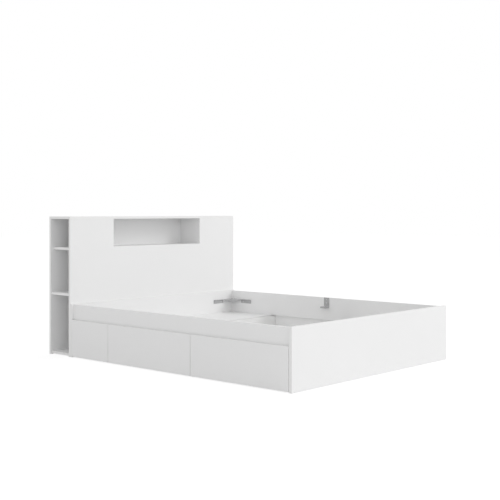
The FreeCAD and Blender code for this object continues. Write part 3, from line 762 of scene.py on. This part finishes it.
def ring(tree, inner, outer, width, rounding):
    """A ring turned from a rounded section."""
    section = add_node(tree, "GeometryNodeCurvePrimitiveQuadrilateral", {
        "Width": maths(tree, "SUBTRACT", outer, inner), "Height": width})
    eased = add_node(tree, "GeometryNodeFilletCurve", {
        "Curve": section.outputs[0], "Count": ROUND_STEPS, "Radius": rounding}, mode="POLY")
    path = add_node(tree, "GeometryNodeCurvePrimitiveCircle", {
        "Resolution": RING_STEPS, "Radius": halfway(tree, outer, inner)})
    return add_node(tree, "GeometryNodeCurveToMesh", {
        "Curve": path.outputs[0], "Profile Curve": eased.outputs[0]}).outputs[0]


tree, given, result = repeat_tree(
    "castor_wheels", "Wheel Radius", "Wheel Width", "Tread Thickness", "Tread Round", "Hub Radius",
    "Bore Radius", "Web Thickness", "Rib Thickness")
castor_wheels = tree
sizes = given.outputs
rim = maths(tree, "SUBTRACT", sizes["Wheel Radius"], sizes["Tread Thickness"])
rim_middle = maths(tree, "ADD", rim, maths(tree, "MULTIPLY", sizes["Tread Thickness"], 0.5))
hub_middle = halfway(tree, sizes["Hub Radius"], sizes["Bore Radius"])
ease = maths(tree, "MULTIPLY", sizes["Tread Round"], EDGE_EASE)
tyre = ring(tree, rim, sizes["Wheel Radius"], sizes["Wheel Width"], sizes["Tread Round"])
hub = ring(tree, sizes["Bore Radius"], sizes["Hub Radius"], sizes["Wheel Width"], ease)
web = ring(tree, hub_middle, rim_middle, sizes["Web Thickness"], ease)
rib_long = maths(tree, "SUBTRACT", rim_middle, hub_middle)
rib_high = maths(tree, "MULTIPLY", sizes["Wheel Width"], RIB_SPAN)
rib_ring = add_node(tree, "GeometryNodeMeshCircle", {
    "Vertices": RIB_COUNT, "Radius": halfway(tree, rim_middle, hub_middle)})
position = add_node(tree, "GeometryNodeInputPosition").outputs[0]
spoke = add_node(
    tree, "FunctionNodeAlignRotationToVector", {"Vector": position}, axis="X", pivot_axis="Z")
ribs = add_node(tree, "GeometryNodeInstanceOnPoints", {
    "Points": rib_ring.outputs[0], "Rotation": spoke.outputs[0],
    "Instance": block(tree, rib_long, sizes["Rib Thickness"], rib_high)})
ribs = add_node(tree, "GeometryNodeRealizeInstances", {"Geometry": ribs.outputs[0]})
wheel = combine(tree, "UNION", tyre, hub, web, ribs.outputs[0])
across = add_node(tree, "ShaderNodeVectorMath", {0: position, 1: (1, 1, 0)}, operation="MULTIPLY")
radius = add_node(tree, "ShaderNodeVectorMath", {0: across.outputs[0]}, operation="LENGTH")
marked = add_node(tree, "GeometryNodeStoreNamedAttribute", {
    "Geometry": wheel, "Name": "reach",
    "Value": maths(tree, "DIVIDE", radius.outputs["Value"], sizes["Wheel Radius"])})
close_tree(tree, given, result, marked.outputs[0])
for drawer in drawers:
    for end in ("front", "rear"):
        node = f"{drawer}_{end}_wheels"
        low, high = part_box(node)
        middle = (low + high) / 2
        spots = [(Vector((middle.x, y, middle.z)), AXLE_WAY)
                 for y in (low.y + WHEEL_WIDTH / 2, high.y - WHEEL_WIDTH / 2)]
        wheel_sizes = {
            "Wheel Radius": (high.z - low.z) / 2, "Wheel Width": WHEEL_WIDTH,
            "Tread Thickness": TREAD_THICK, "Tread Round": TREAD_ROUND,
            "Hub Radius": HUB_RADIUS, "Bore Radius": BORE_RADIUS,
            "Web Thickness": WEB_THICK, "Rib Thickness": RIB_THICK, "Turn": 0.0}
        repeated_piece(f"{node}.dressed", spots, castor_wheels, wheel_sizes,
                       nylon, node, "wheel_plastic", node)

# Stage: a plain pale floor that shows white with the object's shadow on it, a white surrounding,
# a large soft lamp far off to the right of the foot end and a weak one to the left of it.
LIGHT_LEVEL = 0.73
PLAIN_WHITE = (1, 1, 1, 1)
FLOOR_REACH = 30
FLOOR_DROP = 0.3 * MM
FLOOR_PALE = (0.82, 0.82, 0.82, 1)
FLOOR_SHADOW = (0.3, 0.3, 0.3, 1)
FLOOR_SHOWN = 0.8
LAMP_AIM = (0, 0, 0.4)


def seen_rays(tree):
    """One where the camera, or what shines or is clear, looks at the surface."""
    rays = tree.nodes.new("ShaderNodeLightPath").outputs
    shining = maths(tree, "MAXIMUM", rays["Is Glossy Ray"], rays["Is Transmission Ray"])
    return maths(tree, "MAXIMUM", rays["Is Camera Ray"], shining)


world = bpy.data.worlds.new("studio")
bpy.context.scene.world = world
world.use_nodes = True
sky = world.node_tree
strength = add_node(sky, "ShaderNodeMapRange", {
    "Value": seen_rays(sky), "To Min": LIGHT_LEVEL, "To Max": 1})
sky.nodes["Background"].inputs["Color"].default_value = PLAIN_WHITE
sky.links.new(strength.outputs[0], sky.nodes["Background"].inputs["Strength"])

floor_shape = bmesh.new()
bmesh.ops.create_grid(floor_shape, x_segments=1, y_segments=1, size=FLOOR_REACH,
                      matrix=Matrix.Translation((0, 0, -FLOOR_DROP)))
floor_mesh = bpy.data.meshes.new("floor")
floor_shape.to_mesh(floor_mesh)
floor_shape.free()
floor = bpy.data.objects.new("floor", floor_mesh)
bpy.context.scene.collection.objects.link(floor)
floor_finish = bpy.data.materials.new("pale_floor")
floor_finish.use_nodes = True
ground = floor_finish.node_tree
ground.nodes.remove(ground.nodes["Principled BSDF"])
plain = add_node(ground, "ShaderNodeBsdfDiffuse", {"Color": FLOOR_PALE})
shadow = add_node(ground, "ShaderNodeBsdfDiffuse", {"Color": FLOOR_SHADOW})
white = add_node(ground, "ShaderNodeEmission", {"Color": PLAIN_WHITE, "Strength": FLOOR_SHOWN})
shown = add_node(ground, "ShaderNodeAddShader", {0: shadow.outputs[0], 1: white.outputs[0]})
mixed = add_node(ground, "ShaderNodeMixShader", {
    0: seen_rays(ground), 1: plain.outputs[0], 2: shown.outputs[0]})
ground.links.new(mixed.outputs[0], ground.nodes["Material Output"].inputs["Surface"])
floor_mesh.materials.append(floor_finish)


def soft_lamp(name, place, wide, high, power):
    """A square-cornered soft lamp that looks at the bed."""
    lamp_data = bpy.data.lights.new(name, "AREA")
    lamp_data.shape = "RECTANGLE"
    lamp_data.size = wide
    lamp_data.size_y = high
    lamp_data.energy = power
    lamp = bpy.data.objects.new(name, lamp_data)
    lamp.location = place
    lamp.rotation_euler = (Vector(LAMP_AIM) - Vector(place)).to_track_quat("-Z", "Y").to_euler()
    bpy.context.scene.collection.objects.link(lamp)


soft_lamp("right_lamp", place=(7.2, -9.6, 8.2), wide=4.5, high=4.5, power=462)
soft_lamp("front_lamp", place=(-5, -8, 3), wide=4, high=3, power=62)

# Camera: level, about a metre above the floor, off the foot corner on the left. Its shift keeps
# the bed's uprights vertical in the picture.
CAMERA_PLACE = (-5.0192, -4.5846, 1.0309)
CAMERA_LEVEL = math.radians(90)
CAMERA_TURN = math.radians(47.96)
CAMERA_LENS = 68.45
CAMERA_SENSOR = 36
CAMERA_SHIFT = -0.0755
view = bpy.data.cameras.new("view")
view.lens = CAMERA_LENS
view.sensor_width = CAMERA_SENSOR
view.shift_y = CAMERA_SHIFT
camera = bpy.data.objects.new("view", view)
camera.location = CAMERA_PLACE
camera.rotation_euler = (CAMERA_LEVEL, 0, -CAMERA_TURN)
bpy.context.scene.collection.objects.link(camera)
bpy.context.scene.camera = camera
bpy.context.scene.view_settings.view_transform = "Standard"
